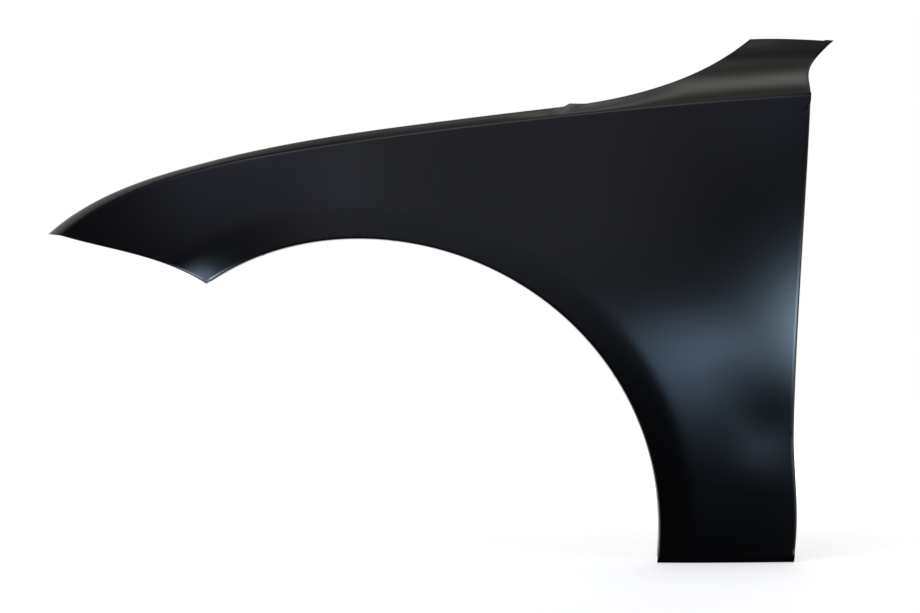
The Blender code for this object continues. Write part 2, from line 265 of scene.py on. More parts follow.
creasePlaces = columnPlaces(panel["creaseColumns"], panel["creaseDivide"])
doorPlaces = columnPlaces(panel["doorColumns"], panel["doorDivide"])
creaseCurve = sideLine(panel["nose"], panel["shoulder"], panel["creaseShares"])
hoodCurve = sideLine(panel["tip"], panel["cowl"], panel["hoodLineShares"])
cowlCurve = sideLine(panel["cowl"], panel["lobe"], panel["cowlEdgeShares"])
lobeEdge = sideLine(panel["shoulder"], panel["lobe"], panel["lobeEdgeShares"])
frontEdge = sideLine(frontCorner, panel["nose"], panel["frontEdgeShares"])
rearCurve = sideLine(panel["shoulder"], panel["sill"], panel["rearEdgeShares"])

creaseShares = columnShares(creaseCurve, panel["creaseColumns"], creasePlaces)
doorShares = columnShares(rearCurve, panel["doorColumns"], doorPlaces)
creaseLine = divide(creaseCurve, creaseShares)
rearEdge = divide(rearCurve, doorShares)


def creaseIndex(place):
    # The line of the grid that stands at a coarse column
    return int(np.searchsorted(creasePlaces, place - panel["smallStep"]))


hoodCount = creaseIndex(panel["hoodColumns"])
hoodShare = creaseShares[hoodCount]
hoodLine = divide(hoodCurve, creaseShares[:hoodCount + 1] / hoodShare)
cowlEdge = divide(cowlCurve, (creaseShares[hoodCount:] - hoodShare) / (1.0 - hoodShare))


# A pattern point holds its place with the press depth left out, the two side-view points
# where the press rule is read, and the share between those two: x, y, z, x, z, x, z, share

def skinPattern():
    outer = np.vstack((creaseLine, rearEdge[1:]))
    angles = np.concatenate((
        frontAngle + (shoulderAngle - frontAngle) * creaseShares,
        shoulderAngle + (sillAngle - shoulderAngle) * doorShares[1:],
    ))
    arch = archReach(angles)[:, None] * np.column_stack((np.cos(angles), np.sin(angles)))
    even = np.linspace(0.0, 1.0, panel["curveSteps"])
    bowed = divide(frontEdge, even) - (frontEdge[0] + even[:, None] * (frontEdge[-1] - frontEdge[0]))
    band = np.array((0.0,) + panel["bandRows"])
    places = np.concatenate((creasePlaces, np.full(len(doorPlaces) - 1, panel["creaseColumns"])))
    columns = []
    for place, near, far in zip(places, arch, outer):
        span = np.hypot(*far) - np.hypot(*near)
        rows = np.linspace(band[-1], span - panel["foldRow"], panel["outerRows"] + 1)[1:]
        shares = np.concatenate((band, rows, [span])) / span
        bow = np.column_stack([np.interp(shares, even, bowed[:, axis]) for axis in (0, 1)])
        bow *= max(0.0, 1.0 - place / panel["creaseColumns"]) ** 3
        line = near + shares[:, None] * (far - near) + bow
        x, z, none = line[:, 0], line[:, 1], np.zeros(len(line))
        columns.append(np.column_stack((x, none, z, x, z, x, z, none)))
    return np.array(columns)


def locatorLevel():
    places = creasePlaces[:hoodCount + 1]
    return np.interp(panel["locatorColumn"] + 1.0, places, hoodLine[:, 1]) + panel["locatorRise"]


def shoulderPattern(crease):
    # The hood line steps up to one level over the locator
    raised = hoodLine.copy()
    past = creasePlaces[:hoodCount + 1] - panel["locatorColumn"]
    over = np.abs(past - panel["stepMiddle"]) < panel["stepHalf"]
    raised[over, 1] = np.maximum(raised[over, 1], locatorLevel())
    top = np.vstack((raised, cowlEdge[1:]))
    crownHandles, hollowHandles = np.array(panel["crownShares"]), np.array(panel["hollowShares"])
    steps = panel["curveSteps"]
    level = np.linspace(0.0, 1.0, steps)
    lobe = cubic((np.zeros(2), hollowHandles[0], hollowHandles[1], np.ones(2)), steps)
    edgeRise = (lobeEdge[:, 1] - panel["shoulder"][1]) / (panel["lobe"][1] - panel["shoulder"][1])
    columns = []
    for place, low, high in zip(creasePlaces, crease, top):
        hollow = ease(high[0], panel["hollowStart"], panel["hollowEnd"])
        width = panel["shoulderFront"] + (panel["shoulderRear"] - panel["shoulderFront"]) * hollow
        handles = crownHandles + (hollowHandles - crownHandles) * hollow
        strip = cubic((np.zeros(2), handles[0], handles[1], np.ones(2)), steps)
        climb = high[1] - low[2]
        # the lobe is one hollow that the hood line trims; further forward the strip fills its width
        trimmed = ease(high[0], panel["trimStart"], panel["trimEnd"])
        stripDepth = width * np.interp(level, strip[:, 1], strip[:, 0])
        lobeDepth = panel["shoulderRear"] * np.interp(
            level * climb / panel["lobeRise"], lobe[:, 1], lobe[:, 0])
        drawn = np.column_stack((stripDepth + (lobeDepth - stripDepth) * trimmed, level * climb))
        length = lengthsAlong(drawn)[-1]
        edge = min(panel["foldRow"] / length, panel["foldRowShare"] / 2)
        shares = np.concatenate(([0.0], np.linspace(edge, 1.0 - edge, panel["shoulderRows"] - 1), [1.0]))
        near = lengthsAlong(drawn)
        depth, rise = [np.interp(shares * length, near, values) for values in (drawn[:, 0], level)]
        x = low[0] + (high[0] - low[0]) * rise
        cowlColumns = panel["creaseColumns"] - panel["hoodColumns"]
        pastCowl = max(0.0, (place - panel["hoodColumns"]) / cowlColumns)
        bow = np.interp(rise, edgeRise, lobeEdge[:, 0]) - (
            panel["shoulder"][0] + (panel["lobe"][0] - panel["shoulder"][0]) * rise)
        same = np.ones(len(rise))
        columns.append(np.column_stack((
            x + bow * pastCowl ** 2, depth, low[2] + climb * rise,
            low[0] * same, low[2] * same, high[0] * same, low[2] * same, depth / depth[-1])))
    return np.array(columns)


def flangeReach(edge, full, extra=None):
    # Width of a flange along its edge: rounded off at both ends, wider at a tab
    length = lengthsAlong(edge[:, (0, 2)])
    nearEnd = np.minimum(length, length[-1] - length) / panel["flangeTaper"]
    rounded = np.sqrt(1.0 - (1.0 - np.clip(nearEnd, 0.0, 1.0)) ** 2)
    reach = panel["flangeStart"] + (full - panel["flangeStart"]) * rounded
    return reach if extra is None else reach + extra


def hoodFoot(top, places):
    # The foot of the hood wall, level at each pad and eased between them
    blend = ease(top[:, 0], panel["hollowStart"], panel["cowl"][0])
    drop = panel["hoodWall"] + (panel["cowlWall"] - panel["hoodWall"]) * blend
    lean = panel["hoodWallLean"] + (panel["cowlWallLean"] - panel["hoodWallLean"]) * blend
    foot = top.copy()
    foot[:, 1] += lean
    foot[:, 2] -= drop
    natural = foot[:, 2].copy()
    for first in panel["padColumns"]:
        middle = first + 1
        level = np.interp(middle, places, natural)
        hold = 1.0 - ease(np.abs(places - middle), 1.0, 2.0)
        foot[:, 2] = foot[:, 2] * (1.0 - hold) + level * hold
    return foot


class Pattern:
    # The flat pattern as a mesh that remembers where each point is pressed

    def __init__(self):
        self.mesh = bmesh.new()
        layers = self.mesh.verts.layers
        self.first = layers.float_vector.new("pressFrom")
        self.second = layers.float_vector.new("pressTo")
        self.share = layers.float.new("pressShare")
        self.folds = self.mesh.edges.layers.float.new("bevel_weight_edge")

    def row(self, points):
        made = []
        for point in points:
            vertex = self.mesh.verts.new(point[:3])
            vertex[self.first] = (point[3], 0.0, point[4])
            vertex[self.second] = (point[5], 0.0, point[6])
            vertex[self.share] = point[7]
            made.append(vertex)
        return made

    def fill(self, near, far):
        for place in range(len(near) - 1):
            self.mesh.faces.new((near[place], near[place + 1], far[place + 1], far[place]))

    def fold(self, row, radius):
        radii = np.broadcast_to(radius, len(row))
        for place, (start, end) in enumerate(zip(row, row[1:])):
            edge = self.mesh.edges.get((start, end))
            edge[self.folds] = min(radii[place], radii[place + 1]) / panel["doorRadius"]

    def flange(self, row, points, reach, radius=panel["edgeRadius"], rows=(0.5, 1.0)):
        # A flange off a row: one line just past the fold, then the rest of its width
        last, outer = row, []
        for share in (0.0,) + tuple(rows):
            width = panel["foldRow"] + (reach - panel["foldRow"]) * share
            shifted = points.copy()
            shifted[:, 1] += width
            outer = self.row(shifted)
            self.fill(last, outer)
            last = outer
        self.fold(row, radius)
        return last, shifted


def buildPattern():
    pattern = Pattern()
    skin = skinPattern()
    creaseEnd = len(creasePlaces) - 1
    columns = [pattern.row(points) for points in skin]
    for near, far in zip(columns, columns[1:]):
        pattern.fill(near, far)

    shoulder = shoulderPattern(skin[:creaseEnd + 1, -1])
    rows = [[column[-1] for column in columns[:creaseEnd + 1]]]
    for number in range(1, shoulder.shape[1]):
        rows.append(pattern.row(shoulder[:, number]))
        pattern.fill(rows[-2], rows[-1])
    pattern.fold(rows[0], panel["creaseRadius"])

    # wheel arch lip
    inner = slice(2, len(columns) - 2)
    lipEdge, lipPoints = [column[0] for column in columns[inner]], skin[inner, 0]
    reach = flangeReach(lipPoints, panel["archLip"])
    last = lipEdge
    for share in (0.0, 0.5, 1.0):
        width = panel["foldRow"] + (reach - panel["foldRow"]) * share
        points = lipPoints.copy()
        lean = 1.0 - panel["archLipLean"] / panel["archRadius"] * width / panel["archLip"]
        points[:, 0] *= lean
        points[:, 1] += width
        points[:, 2] *= lean
        made = pattern.row(points)
        pattern.fill(last, made)
        last = made
    pattern.fold(lipEdge, panel["edgeRadius"])

    # bumper, sill and lobe flanges
    inside = slice(1, -1)
    pattern.flange(columns[0][inside], skin[0, inside],
                   flangeReach(skin[0, inside], panel["frontFlange"]))
    pattern.flange(columns[-1][inside], skin[-1, inside],
                   flangeReach(skin[-1, inside], panel["sillFlange"]))
    lobeRow = [row[-1] for row in rows[inside]]
    pattern.flange(lobeRow, shoulder[-1, inside], flangeReach(shoulder[-1, inside], panel["lobeFlange"]),
                   panel["lobeFoldRadius"])

    # door flange with its two tabs
    doorEdge = skin[creaseEnd + 2:-2, -1]
    length = lengthsAlong(doorEdge[:, (0, 2)])
    extra = np.zeros(len(doorEdge))
    for column in panel["doorTabColumns"]:
        middle = np.interp(column, doorPlaces[2:-2], length)
        away = np.abs(length - middle)
        rise = 1.0 - ease(away, panel["doorTabHalf"] - panel["doorTabSlope"], panel["doorTabHalf"])
        extra = np.maximum(extra, rise * (panel["doorTab"] - panel["doorFlange"]))
    pattern.flange([column[-1] for column in columns[creaseEnd + 2:-2]], doorEdge,
                   flangeReach(doorEdge, panel["doorFlange"], extra),
                   panel["doorRadius"], (0.33, 0.66, 1.0))

    # hood wall, shelf and locator
    shelfFrom = creaseIndex(2)
    shelfTo = creaseIndex(panel["hoodColumns"] - 1)
    wallPart = slice(shelfFrom, -2)
    top = shoulder[:, -1]
    plain = top.copy()
    plain[:hoodCount + 1, 2] = hoodLine[:, 1]
    foot = hoodFoot(plain, creasePlaces)
    wallEdge = rows[-1][wallPart]
    wall = (foot - top)[wallPart]
    size = np.linalg.norm(wall[:, :3], axis=1)
    wallRadii = np.minimum(panel["foldRadius"], size * panel["foldRadiusShare"])
    edgeShare = np.minimum(panel["foldRow"] / size, panel["foldRowShare"])
    last = wallEdge
    for away in (edgeShare, 1.0 - edgeShare, np.ones(len(size))):
        made = pattern.row(top[wallPart] + wall * away[:, None])
        pattern.fill(last, made)
        last = made
    pattern.fold(wallEdge, wallRadii)
    shelfRoot = last[:shelfTo - shelfFrom + 1]
    shelfPoints = foot[shelfFrom:shelfTo + 1]
    shelf, shelfOuter = pattern.flange(
        shelfRoot, shelfPoints, flangeReach(shelfPoints, panel["hoodShelf"]),
        wallRadii[:len(shelfRoot)], (0.3, 0.65, 1.0))
    locatorFrom = creaseIndex(panel["locatorColumn"]) - shelfFrom
    locatorTo = creaseIndex(panel["locatorColumn"] + 1) - shelfFrom
    root = shelf[locatorFrom:locatorTo + 1]
    last = root
    level = locatorLevel() - panel["locatorDrop"]
    for share in (0.3, 0.7, 1.0):
        points = shelfOuter[locatorFrom:locatorTo + 1].copy()
        middle = points[:, 0].mean()
        points[:, 0] = middle + (points[:, 0] - middle) * (1.0 - panel["locatorTaper"] * share)
        points[:, 1] += panel["locatorLean"] * share
        points[:, 2] += (level - points[:, 2]) * share
        made = pattern.row(points)
        pattern.fill(last, made)
        last = made
    pattern.fold(root, panel["foldRadius"])

    # what the holes are set out from, once the skin is pressed
    mesh = pattern.mesh
    mesh.verts.index_update()
    edges = {
        "sill": columns[-1],
        "front": columns[0],
        "arch": [column[0] for column in columns],
        "door": [column[-1] for column in columns[creaseEnd:]],
        "foot": shelfRoot,
        "shelf": shelf,
    }
    edges = {name: [vertex.index for vertex in row] for name, row in edges.items()}
    padPlaces = [creaseIndex(first + 1) - shelfFrom for first in panel["padColumns"]]
    bmesh.ops.recalc_face_normals(mesh, faces=mesh.faces[:])
    if sum(face.normal.y * face.calc_area() for face in mesh.faces) > 0.0:
        bmesh.ops.reverse_faces(mesh, faces=mesh.faces[:])
    data = bpy.data.meshes.new("fender_pattern")
    mesh.to_mesh(data)
    mesh.free()
    return data, edges, padPlaces


def mathNode(tree, operation, *terms):
    node = tree.nodes.new("ShaderNodeMath")
    node.operation = operation
    for place, term in enumerate(terms):
        if isinstance(term, bpy.types.NodeSocket):
            tree.links.new(term, node.inputs[place])
        else:
            node.inputs[place].default_value = term
    return node.outputs[0]


def namedValue(tree, name, kind):
    node = tree.nodes.new("GeometryNodeInputNamedAttribute")
    node.data_type = kind
    node.inputs["Name"].default_value = name
    return node.outputs["Attribute"]


def addSockets(tree, sizes):
    tree.interface.new_socket("Geometry", in_out="INPUT", socket_type="NodeSocketGeometry")
    tree.interface.new_socket("Geometry", in_out="OUTPUT", socket_type="NodeSocketGeometry")
    tree.interface.new_socket("Finish", in_out="INPUT", socket_type="NodeSocketMaterial")
    for name, value in sizes.items():
        socket = tree.interface.new_socket(name, in_out="INPUT", socket_type="NodeSocketFloat")
        socket.default_value = value


def endTree(tree, geometry, start):
    # Realize Instances and Set Material close each tree
    realize = tree.nodes.new("GeometryNodeRealizeInstances")
    paint = tree.nodes.new("GeometryNodeSetMaterial")
    end = tree.nodes.new("NodeGroupOutput")
    tree.links.new(geometry, realize.inputs["Geometry"])
    tree.links.new(realize.outputs["Geometry"], paint.inputs["Geometry"])
    tree.links.new(start.outputs["Finish"], paint.inputs["Material"])
    tree.links.new(paint.outputs["Geometry"], end.inputs["Geometry"])


def pressRule(tree, sizes, point):
    # How far the skin lies inboard of its outermost line, at one point of the side view
    split = tree.nodes.new("ShaderNodeSeparateXYZ")
    tree.links.new(point, split.inputs[0])
    x, z = split.outputs["X"], split.outputs["Z"]
    run = mathNode(tree, "SUBTRACT", sizes["Tuck Start"], x)
    length = mathNode(tree, "ADD", sizes["Tuck Start"], sizes["Nose Reach"])
    share = mathNode(tree, "MAXIMUM", mathNode(tree, "DIVIDE", run, length), 0.0)
    nose = mathNode(tree, "MULTIPLY", sizes["Nose Tuck"],
                    mathNode(tree, "POWER", share, sizes["Tuck Power"]))
    run = mathNode(tree, "SUBTRACT", x, sizes["Door Tuck Start"])
    length = mathNode(tree, "SUBTRACT", sizes["Door Reach"], sizes["Door Tuck Start"])
    share = mathNode(tree, "MAXIMUM", mathNode(tree, "DIVIDE", run, length), 0.0)
    door = mathNode(tree, "MULTIPLY", sizes["Door Tuck"],
                    mathNode(tree, "POWER", share, sizes["Door Tuck Power"]))
    tilt = mathNode(tree, "DIVIDE", mathNode(tree, "SUBTRACT", z, sizes["Waist Height"]),
                    sizes["Crown Softness"])
    scale = mathNode(tree, "MULTIPLY", sizes["Crown Slope"], sizes["Crown Softness"])
    crown = mathNode(tree, "MULTIPLY", scale, mathNode(
        tree, "LOGARITHM", mathNode(tree, "COSH", tilt), math.e))
    radius = mathNode(tree, "SQRT", mathNode(
        tree, "ADD", mathNode(tree, "MULTIPLY", x, x), mathNode(tree, "MULTIPLY", z, z)))
    inside = mathNode(tree, "SUBTRACT", sizes["Band Width"], mathNode(
        tree, "SUBTRACT", radius, sizes["Arch Radius"]))
    grown = mathNode(tree, "EXPONENT", mathNode(tree, "DIVIDE", inside, sizes["Band Softness"]))
    scale = mathNode(tree, "MULTIPLY", sizes["Band Slope"], sizes["Band Softness"])
    dish = mathNode(tree, "MULTIPLY", scale, mathNode(
        tree, "LOGARITHM", mathNode(tree, "ADD", 1.0, grown), math.e))
    depth = mathNode(tree, "ADD", mathNode(tree, "ADD", nose, door), mathNode(tree, "ADD", crown, dish))
    for name in ("Lower Dip", "Upper Dip", "Corner Dip"):
        size = sizes[name + " Size"]
        across = mathNode(tree, "DIVIDE", mathNode(tree, "SUBTRACT", x, sizes[name + " Reach"]), size)
        above = mathNode(tree, "DIVIDE", mathNode(tree, "SUBTRACT", z, sizes[name + " Height"]), size)
        away = mathNode(tree, "ADD", mathNode(tree, "MULTIPLY", across, across),
                        mathNode(tree, "MULTIPLY", above, above))
        fade = mathNode(tree, "EXPONENT", mathNode(tree, "MULTIPLY", away, -0.5))
        depth = mathNode(tree, "ADD", depth, mathNode(tree, "MULTIPLY", fade, sizes[name + " Depth"]))
    return depth


def pressTree():
    tree = bpy.data.node_groups.new("press_skin", "GeometryNodeTree")
    addSockets(tree, press)
    start = tree.nodes.new("NodeGroupInput")
    sizes = start.outputs
    first = pressRule(tree, sizes, namedValue(tree, "pressFrom", "FLOAT_VECTOR"))
    second = pressRule(tree, sizes, namedValue(tree, "pressTo", "FLOAT_VECTOR"))
    share = namedValue(tree, "pressShare", "FLOAT")
    depth = mathNode(tree, "MULTIPLY_ADD", mathNode(tree, "SUBTRACT", second, first), share, first)
    join = tree.nodes.new("ShaderNodeCombineXYZ")
    tree.links.new(depth, join.inputs["Y"])
    move = tree.nodes.new("GeometryNodeSetPosition")
    tree.links.new(sizes["Geometry"], move.inputs["Geometry"])
    tree.links.new(join.outputs[0], move.inputs["Offset"])
    endTree(tree, move.outputs["Geometry"], start)
    return tree


def runTree(piece, tree, values, finish):
    # Puts a node tree on a piece, with its inputs set by identifier
    modifier = piece.modifiers.new(tree.name, "NODES")
    modifier.node_group = tree
    for socket in tree.interface.items_tree:
        if socket.in_out == "INPUT" and socket.name in values:
            modifier[socket.identifier] = values[socket.name]
        if socket.in_out == "INPUT" and socket.name == "Finish":
            modifier[socket.identifier] = finish
    return modifier


def plainMesh(piece, name):
    # The evaluated piece as a plain mesh, with nothing live left on it
    seen = piece.evaluated_get(bpy.context.evaluated_depsgraph_get())
    data = bpy.data.meshes.new_from_object(seen)
    data.name = name
    piece.modifiers.clear()
    piece.data = data


def placeObject(name, data):
    made = bpy.data.objects.new(name, data)
    scene.collection.objects.link(made)
    return made


# Satin black electro-coat primer

mixFrom, mixTo, mixOut = 6, 7, 2    # the colour sockets of a Mix node

primer = {
    "darkColour": (0.0014, 0.0012, 0.0013, 1.0),
    "lightColour": (0.0024, 0.0023, 0.0026, 1.0),
    "roughness": 0.13,
    "roughnessSpread": 0.015,
    "refraction": 1.5,
    "cloudScale": 9.0,
    "satinScale": 28.0,
    "grainScale": 420.0,
    "grainStrength": 0.10,
    "grainDepth": 0.0001,
    "scuff": (0.1470, -0.0448, -0.0022),
    "scuffRadius": 0.0038,
    "scuffRoughness": 0.30,
}


def primerMaterial():
    material = bpy.data.materials.new("black_primer_coat")
    material.use_nodes = True
    tree = material.node_tree
    shader = tree.nodes["Principled BSDF"]
    shader.inputs["IOR"].default_value = primer["refraction"]
    where = tree.nodes.new("ShaderNodeTexCoord")

    def noise(scale, detail):
        node = tree.nodes.new("ShaderNodeTexNoise")
        node.inputs["Scale"].default_value = scale
        node.inputs["Detail"].default_value = detail
        tree.links.new(where.outputs["Object"], node.inputs["Vector"])
        return node.outputs["Fac"]

    cloud = noise(primer["cloudScale"], 3.0)
    tint = tree.nodes.new("ShaderNodeMix")
    tint.data_type = "RGBA"
    tree.links.new(cloud, tint.inputs["Factor"])
    tint.inputs[mixFrom].default_value = primer["darkColour"]
    tint.inputs[mixTo].default_value = primer["lightColour"]
    tree.links.new(tint.outputs[mixOut], shader.inputs["Base Color"])

    spread = tree.nodes.new("ShaderNodeMapRange")
    tree.links.new(noise(primer["satinScale"], 5.0), spread.inputs["Value"])
    spread.inputs["To Min"].default_value = primer["roughness"] - primer["roughnessSpread"]
    spread.inputs["To Max"].default_value = primer["roughness"] + primer["roughnessSpread"]

    # a small dull scuff below the shoulder, blurred at its rim by the satin noise
    away = tree.nodes.new("ShaderNodeVectorMath")
    away.operation = "DISTANCE"
    tree.links.new(where.outputs["Object"], away.inputs[0])
    away.inputs[1].default_value = primer["scuff"]
    worn = tree.nodes.new("ShaderNodeMapRange")
    worn.interpolation_type = "SMOOTHSTEP"
    tree.links.new(away.outputs["Value"], worn.inputs["Value"])
    worn.inputs["From Max"].default_value = primer["scuffRadius"]
    worn.inputs["To Min"].default_value = primer["scuffRoughness"]
    worn.inputs["To Max"].default_value = 0.0
    coarse = mathNode(tree, "MULTIPLY", worn.outputs["Result"], noise(primer["grainScale"], 2.0))
    tree.links.new(mathNode(tree, "ADD", spread.outputs["Result"], coarse), shader.inputs["Roughness"])

    bump = tree.nodes.new("ShaderNodeBump")
    bump.inputs["Strength"].default_value = primer["grainStrength"]
    bump.inputs["Distance"].default_value = primer["grainDepth"]
    tree.links.new(noise(primer["grainScale"], 2.0), bump.inputs["Height"])
    tree.links.new(bump.outputs["Normal"], shader.inputs["Normal"])
    return material


# Bolt slots, bolt holes and liner screw holes: diameters and where they stand

holes = {
    "padSlot": 0.0090,
    "padTravel": 0.0050,
    "sill": 0.0090,
    "tab": 0.0085,
    "front": 0.0065,
    "arch": 0.0060,          # the liner screws in the arch lip
    "sillShares": (0.27, 0.73),
    "frontShares": (0.20, 0.50, 0.80),
    "archShares": (0.10, 0.30, 0.50, 0.70, 0.90),
    "sides": 24,             # of a round punch
}

punch = {
    "Reach": 0.008,          # length of each punch, through one sheet
}


def punchTree():
    # Round punches on points; one that has a travel is drawn out along X into a slot
    tree = bpy.data.node_groups.new("punch_holes", "GeometryNodeTree")
    addSockets(tree, punch)
    start = tree.nodes.new("NodeGroupInput")
    tool = tree.nodes.new("GeometryNodeMeshCylinder")
    tool.inputs["Vertices"].default_value = holes["sides"]
    tool.inputs["Radius"].default_value = 0.5
    tool.inputs["Depth"].default_value = 1.0
    turn = tree.nodes.new("FunctionNodeAlignRotationToVector")
    turn.axis = "Z"
    tree.links.new(namedValue(tree, "holeAxis", "FLOAT_VECTOR"), turn.inputs["Vector"])
    scale = tree.nodes.new("ShaderNodeCombineXYZ")
    size = namedValue(tree, "holeSize", "FLOAT")
    tree.links.new(size, scale.inputs["X"])
    tree.links.new(size, scale.inputs["Y"])
    tree.links.new(start.outputs["Reach"], scale.inputs["Z"])
    place = tree.nodes.new("GeometryNodeInstanceOnPoints")
    tree.links.new(start.outputs["Geometry"], place.inputs["Points"])
    tree.links.new(tool.outputs["Mesh"], place.inputs["Instance"])
    tree.links.new(turn.outputs["Rotation"], place.inputs["Rotation"])
    tree.links.new(scale.outputs[0], place.inputs["Scale"])
    real = tree.nodes.new("GeometryNodeRealizeInstances")
    tree.links.new(place.outputs["Instances"], real.inputs["Geometry"])
    here = tree.nodes.new("GeometryNodeInputPosition")
    away = tree.nodes.new("ShaderNodeVectorMath")
    away.operation = "SUBTRACT"
    tree.links.new(here.outputs["Position"], away.inputs[0])
    tree.links.new(namedValue(tree, "holeCentre", "FLOAT_VECTOR"), away.inputs[1])
    split = tree.nodes.new("ShaderNodeSeparateXYZ")
    tree.links.new(away.outputs["Vector"], split.inputs[0])
    offMiddle = mathNode(tree, "GREATER_THAN", mathNode(tree, "ABSOLUTE", split.outputs["X"]), 0.0001)
    side = mathNode(tree, "MULTIPLY", mathNode(tree, "SIGN", split.outputs["X"]), offMiddle)
    slide = tree.nodes.new("ShaderNodeCombineXYZ")
    travel = mathNode(tree, "MULTIPLY", side, namedValue(tree, "holeTravel", "FLOAT"))
    tree.links.new(travel, slide.inputs["X"])
    move = tree.nodes.new("GeometryNodeSetPosition")
    tree.links.new(real.outputs["Geometry"], move.inputs["Geometry"])
    tree.links.new(slide.outputs[0], move.inputs["Offset"])
    endTree(tree, move.outputs["Geometry"], start)
    return tree


def holePlan(points, edges, padPlaces):
    # Centre, axis, diameter and travel of each hole, from the pressed edges
    plan = []

    def onFlange(edge, places, inboard, size):
        length = lengthsAlong(edge)
        for place in places:
            centre = np.array([np.interp(place, length, edge[:, axis]) for axis in range(3)])
            first = min(int(np.searchsorted(length, place)), len(edge) - 1) - 1
            axis = np.cross(edge[first + 1] - edge[first], (0.0, 1.0, 0.0))
            plan.append((centre + (0.0, inboard, 0.0), axis / np.linalg.norm(axis), size, 0.0))

    for place in padPlaces:
        centre = (points[edges["foot"][place]] + points[edges["shelf"][place]]) / 2
        plan.append((centre, np.array((0.0, 0.0, 1.0)), holes["padSlot"], holes["padTravel"]))
    for name, inboard in (
        ("sill", panel["sillFlange"] / 2),
        ("front", panel["frontFlange"] / 2),
        ("arch", (panel["archLip"] + panel["foldRadius"]) / 2),
    ):
        edge = points[edges[name]]
        onFlange(edge, np.array(holes[name + "Shares"]) * lengthsAlong(edge)[-1], inboard, holes[name])
    door = points[edges["door"]]
    tabs = np.interp(panel["doorTabColumns"], doorPlaces, lengthsAlong(door))
    onFlange(door, tabs, (panel["doorTab"] + panel["foldRadius"]) / 2, holes["tab"])
    return plan


def punchTool(plan, finish):
    data = bpy.data.meshes.new("hole_points")
    data.from_pydata([tuple(row[0]) for row in plan], [], [])
    for name, kind, values in (
        ("holeCentre", "FLOAT_VECTOR", [row[0] for row in plan]),
        ("holeAxis", "FLOAT_VECTOR", [row[1] for row in plan]),
        ("holeSize", "FLOAT", [row[2] for row in plan]),
        ("holeTravel", "FLOAT", [row[3] for row in plan]),
    ):
        field = "vector" if kind == "FLOAT_VECTOR" else "value"
        layer = data.attributes.new(name, kind, "POINT")
        layer.data.foreach_set(field, np.array(values, np.float32).ravel())
    tool = placeObject("hole_punches", data)
    runTree(tool, punchTree(), punch, finish)
    plainMesh(tool, "hole_punches")
    return tool


def buildPanel(finish):
    data, edges, padPlaces = buildPattern()
    skin = placeObject("fender_skin", data)
    runTree(skin, pressTree(), press, finish)
    plainMesh(skin, "fender_pressed")
    points = np.array([vertex.co for vertex in skin.data.vertices])
    print("skin pressed:", len(skin.data.polygons), "faces")

    bend = skin.modifiers.new("folds", "BEVEL")
    bend.limit_method = "WEIGHT"
    bend.width = panel["doorRadius"]
    bend.segments = panel["foldSteps"]
    bend.use_clamp_overlap = False
    wall = skin.modifiers.new("sheet", "SOLIDIFY")
    wall.thickness = panel["sheet"]
    wall.offset = -1.0
    plainMesh(skin, "fender_sheet")
    print("skin folded:", len(skin.data.polygons), "faces")

    tool = punchTool(holePlan(points, edges, padPlaces), finish)
    cut = skin.modifiers.new("holes", "BOOLEAN")
    cut.operation = "DIFFERENCE"
    cut.solver = "EXACT"
    cut.object = tool
    plainMesh(skin, "fender_skin")
    bpy.data.objects.remove(tool)
    skin.data.transform(Matrix.Translation(panel["wheelCentre"]))
    skin.data.shade_smooth()
    skin.data.set_sharp_from_angle(angle=math.radians(panel["sharpAngle"]))
    print("holes punched:", len(skin.data.polygons), "faces")
    return skin


finish = primerMaterial()
skin = buildPanel(finish)
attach(skin, "root")
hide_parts("fender_panel")

# A plain pale floor that keeps the panel's shadow

floor = {
    "half": 6.0,
    "gap": 0.0004,
    "colour": (0.80, 0.80, 0.80, 1.0),
    "roughness": 0.9,
    "lift": 0.47,            # added for the camera, so that the floor is white where no shadow lies
    "nearShadow": 0.9,       # metres from the frame's middle that the shadow can reach
    "farOut": 1.9,           # from here on the floor is plain white
}


def makeFloor():
    half = floor["half"]
    level = cadBox[0].z - floor["gap"]
    corners = [(-half, -half, level), (half, -half, level), (half, half, level), (-half, half, level)]
    data = bpy.data.meshes.new("floor")
    data.from_pydata(corners, [], [(0, 1, 2, 3)])
    made = placeObject("floor", data)
    made.visible_glossy = False
    material = bpy.data.materials.new("pale_floor")
    material.use_nodes = True
    tree = material.node_tree
    shader = tree.nodes["Principled BSDF"]
    shader.inputs["Base Color"].default_value = floor["colour"]
    shader.inputs["Roughness"].default_value = floor["roughness"]
    shader.inputs["Emission Color"].default_value = (1.0, 1.0, 1.0, 1.0)
    where = tree.nodes.new("ShaderNodeTexCoord")
    away = tree.nodes.new("ShaderNodeVectorMath")
    away.operation = "LENGTH"
    tree.links.new(where.outputs["Object"], away.inputs[0])
    lift = tree.nodes.new("ShaderNodeMapRange")
    lift.interpolation_type = "SMOOTHSTEP"
    tree.links.new(away.outputs["Value"], lift.inputs["Value"])
    lift.inputs["From Min"].default_value = floor["nearShadow"]
    lift.inputs["From Max"].default_value = floor["farOut"]
    lift.inputs["To Min"].default_value = floor["lift"]
    path = tree.nodes.new("ShaderNodeLightPath")
    shown = mathNode(tree, "MULTIPLY", path.outputs["Is Camera Ray"], lift.outputs["Result"])
    tree.links.new(shown, shader.inputs["Emission Strength"])
    data.materials.append(material)


# The studio: white to the camera, and to gloss in the direction behind the object.
# All else is a dark room with soft boxes, which shape the highlights of the black coat.
# Each box: degrees right of the camera, degrees up, spread in degrees, colour

